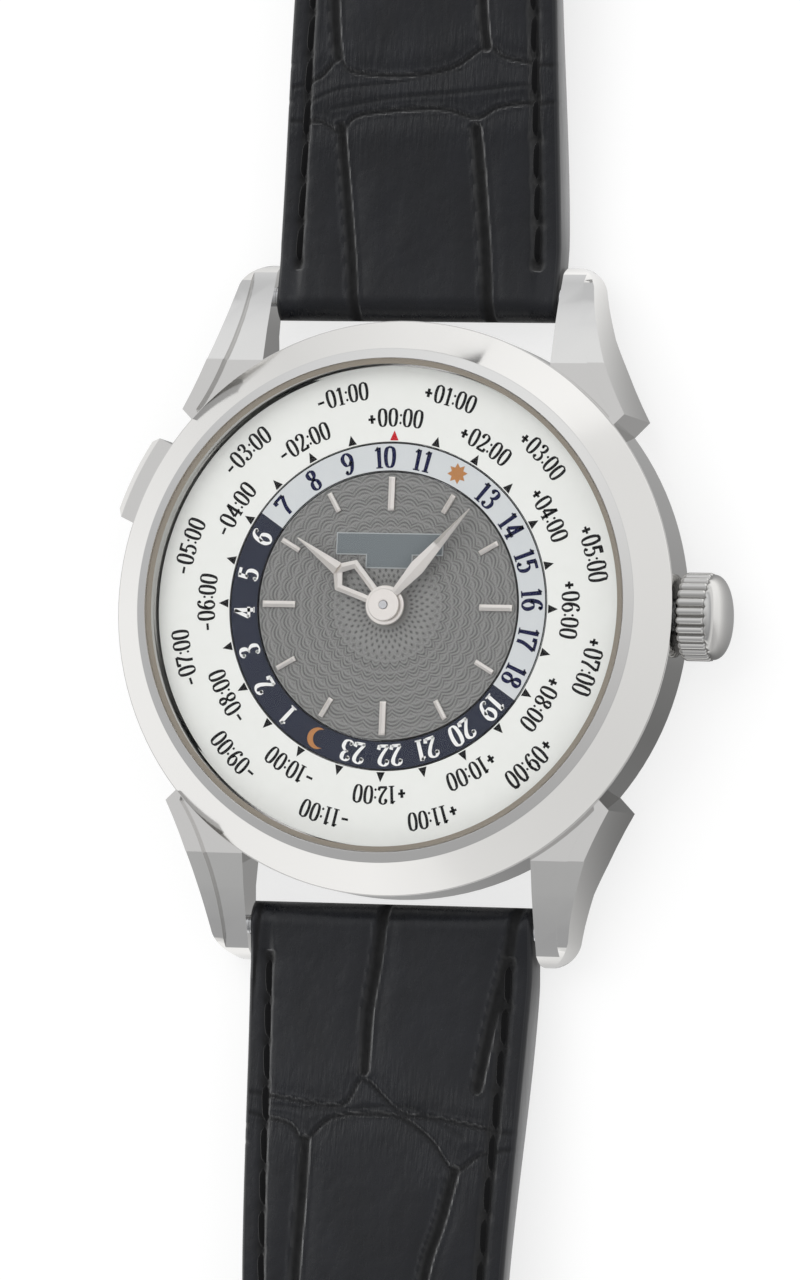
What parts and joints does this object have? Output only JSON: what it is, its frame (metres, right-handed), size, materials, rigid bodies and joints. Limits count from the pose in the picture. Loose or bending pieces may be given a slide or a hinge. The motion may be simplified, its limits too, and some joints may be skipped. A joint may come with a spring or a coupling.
{
  "type": "world time watch",
  "caption": "Round world time wristwatch with turning city and hour rings, pusher, crown, see-through back over its movement, and a leather strap on a pin buckle.",
  "frame": {"origin": "centre of the flat underside of the case back, which the watch lies on", "axes": "+Z out of the dial, +Y to 12 o'clock and the buckle, +X to 3 o'clock and the crown"},
  "size_m": [0.0424, 0.2391, 0.0102],
  "materials": {
    "case_metal": "polished",
    "back_metal": "polished",
    "crystal_glass": "clear",
    "dial_grey": "engine-turned, satin",
    "marker_metal": "polished",
    "hand_metal": "polished",
    "hour_ring_paint": "satin",
    "city_ring_paint": "satin",
    "crown_metal": "polished",
    "steel": "polished",
    "plate_metal": "rhodium plated",
    "gilt": "gilded",
    "rotor_metal": "gilded",
    "spring_steel": "blued",
    "strap_leather": "alligator grain",
    "keeper_leather": "smooth",
    "buckle_metal": "polished"
  },
  "bodies": {
    "case": {"mid_case": "case_metal", "bezel": "case_metal", "crystal": "crystal_glass", "case_back": "back_metal", "back_crystal": "crystal_glass", "crown_tube": "steel", "dial_centre": "dial_grey", "hour_markers": "marker_metal", "main_plate": "plate_metal", "barrel_bridge": "plate_metal", "train_bridge": "plate_metal", "balance_cock": "plate_metal", "pallet_cock": "plate_metal", "rotor_post": "steel", "hairspring": "spring_steel", "spring_bar_12": "steel", "spring_bar_6": "steel"},
    "minute_train": {"centre_wheel": "gilt", "cannon_pinion": "steel", "minute_hand": "hand_metal"},
    "hour_train": {"hour_wheel": "gilt", "hour_hand": "hand_metal"},
    "minute_work": {"minute_wheel": "gilt"},
    "hour_ring": {"hour_ring": "hour_ring_paint"},
    "city_disc": {"city_disc": "city_ring_paint"},
    "barrel": {"barrel": "gilt"},
    "third_wheel": {"third_wheel": "gilt"},
    "fourth_wheel": {"fourth_wheel": "gilt"},
    "escape_wheel": {"escape_wheel": "steel"},
    "pallet_fork": {"pallet_fork": "steel"},
    "balance": {"balance_wheel": "gilt"},
    "rotor": {"rotor": "rotor_metal"},
    "ratchet": {"ratchet_wheel": "steel", "barrel_arbor": "steel"},
    "crown_wheel": {"crown_wheel": "steel"},
    "winding": {"winding_pinion": "steel"},
    "crown": {"crown": "crown_metal", "winding_stem": "steel"},
    "pusher": {"pusher": "crown_metal", "pusher_spring": "spring_steel"},
    "short_strap": {"strap_short": "strap_leather", "fixed_keeper": "keeper_leather"},
    "free_keeper": {"free_keeper": "keeper_leather"},
    "buckle": {"buckle_frame": "buckle_metal", "buckle_bar": "steel"},
    "tongue": {"buckle_tongue": "buckle_metal"},
    "long_strap": {"strap_long": "strap_leather"}
  },
  "joints": [
    {"name": "minute_turn", "type": "hinge", "parent": "case", "child": "minute_train", "pos_m": [0, 0, 0.008], "axis": [0, 0, 1], "continuous": true},
    {"name": "hour_turn", "type": "hinge", "parent": "case", "child": "hour_train", "pos_m": [0, 0, 0.008], "axis": [0, 0, 1], "continuous": true},
    {"name": "minute_work_turn", "type": "hinge", "parent": "case", "child": "minute_work", "pos_m": [0.0026, 0, 0.0065], "axis": [0, 0, 1], "continuous": true},
    {"name": "hour_ring_turn", "type": "hinge", "parent": "case", "child": "hour_ring", "pos_m": [0, 0, 0.0076], "axis": [0, 0, 1], "continuous": true},
    {"name": "city_turn", "type": "hinge", "parent": "case", "child": "city_disc", "pos_m": [0, 0, 0.0076], "axis": [0, 0, 1], "continuous": true},
    {"name": "barrel_turn", "type": "hinge", "parent": "case", "child": "barrel", "pos_m": [0.00376, 0.00418, 0.0037], "axis": [0, 0, 1], "continuous": true},
    {"name": "third_turn", "type": "hinge", "parent": "case", "child": "third_wheel", "pos_m": [-0.00444, -0.00071, 0.0036], "axis": [0, 0, 1], "continuous": true},
    {"name": "fourth_turn", "type": "hinge", "parent": "case", "child": "fourth_wheel", "pos_m": [-0.0059, -0.00406, 0.0042], "axis": [0, 0, 1], "continuous": true},
    {"name": "escape_turn", "type": "hinge", "parent": "case", "child": "escape_wheel", "pos_m": [-0.00491, -0.00691, 0.0036], "axis": [0, 0, 1], "continuous": true},
    {"name": "pallet_rock", "type": "hinge", "parent": "case", "child": "pallet_fork", "pos_m": [-0.00265, -0.0076, 0.00355], "axis": [0, 0, 1], "range_deg": [-4.5, 4.5]},
    {"name": "balance_swing", "type": "hinge", "parent": "case", "child": "balance", "pos_m": [0.0008, -0.00867, 0.0029], "axis": [0, 0, 1], "range_deg": [-270, 270], "stiffness_Nm_per_rad": 0.00000011},
    {"name": "rotor_turn", "type": "hinge", "parent": "case", "child": "rotor", "pos_m": [-0.0057, 0.00532, 0.0024], "axis": [0, 0, 1], "continuous": true},
    {"name": "ratchet_turn", "type": "hinge", "parent": "case", "child": "ratchet", "pos_m": [0.00376, 0.00418, 0.0018], "axis": [0, 0, 1], "continuous": true},
    {"name": "crown_wheel_turn", "type": "hinge", "parent": "case", "child": "crown_wheel", "pos_m": [0.00876, 0.00241, 0.0018], "axis": [0, 0, 1], "continuous": true},
    {"name": "crown_turn", "type": "hinge", "parent": "case", "child": "winding", "pos_m": [0.0106, 0, 0.0038], "axis": [1, 0, 0], "continuous": true},
    {"name": "crown_pull", "type": "slide", "parent": "winding", "child": "crown", "axis": [1, 0, 0], "range_m": [0, 0.0013]},
    {"name": "pusher_press", "type": "slide", "parent": "case", "child": "pusher", "axis": [0.9063, -0.4226, 0], "range_m": [0, 0.0007], "stiffness_N_per_m": 3000, "springref_m": -0.0003},
    {"name": "short_strap_turn", "type": "hinge", "parent": "case", "child": "short_strap", "pos_m": [0, 0.0212, 0.0032], "axis": [1, 0, 0], "range_deg": [-75, 40]},
    {"name": "long_strap_turn", "type": "hinge", "parent": "case", "child": "long_strap", "pos_m": [0, -0.0212, 0.0032], "axis": [1, 0, 0], "range_deg": [-40, 75]},
    {"name": "keeper_slide", "type": "slide", "parent": "short_strap", "child": "free_keeper", "axis": [0, 1, 0], "range_m": [-0.0035, 0.0033]},
    {"name": "buckle_turn", "type": "hinge", "parent": "short_strap", "child": "buckle", "pos_m": [0, 0.0922, 0.00197], "axis": [1, 0, 0], "range_deg": [-60, 50]},
    {"name": "tongue_turn", "type": "hinge", "parent": "buckle", "child": "tongue", "pos_m": [0, 0.0922, 0.00197], "axis": [1, 0, 0], "range_deg": [0, 60]}
  ],
  "couplings": [
    {"joint": "hour_turn", "follows": "minute_turn", "ratio": 0.083333},
    {"joint": "minute_work_turn", "follows": "minute_turn", "ratio": -0.33333},
    {"joint": "hour_ring_turn", "follows": "minute_turn", "ratio": -0.041667},
    {"joint": "barrel_turn", "follows": "minute_turn", "ratio": -0.16667},
    {"joint": "third_turn", "follows": "minute_turn", "ratio": -8},
    {"joint": "escape_turn", "follows": "fourth_turn", "ratio": -8},
    {"joint": "crown_wheel_turn", "follows": "crown_turn", "ratio": -0.6},
    {"joint": "ratchet_turn", "follows": "crown_turn", "ratio": 0.375}
  ]
}
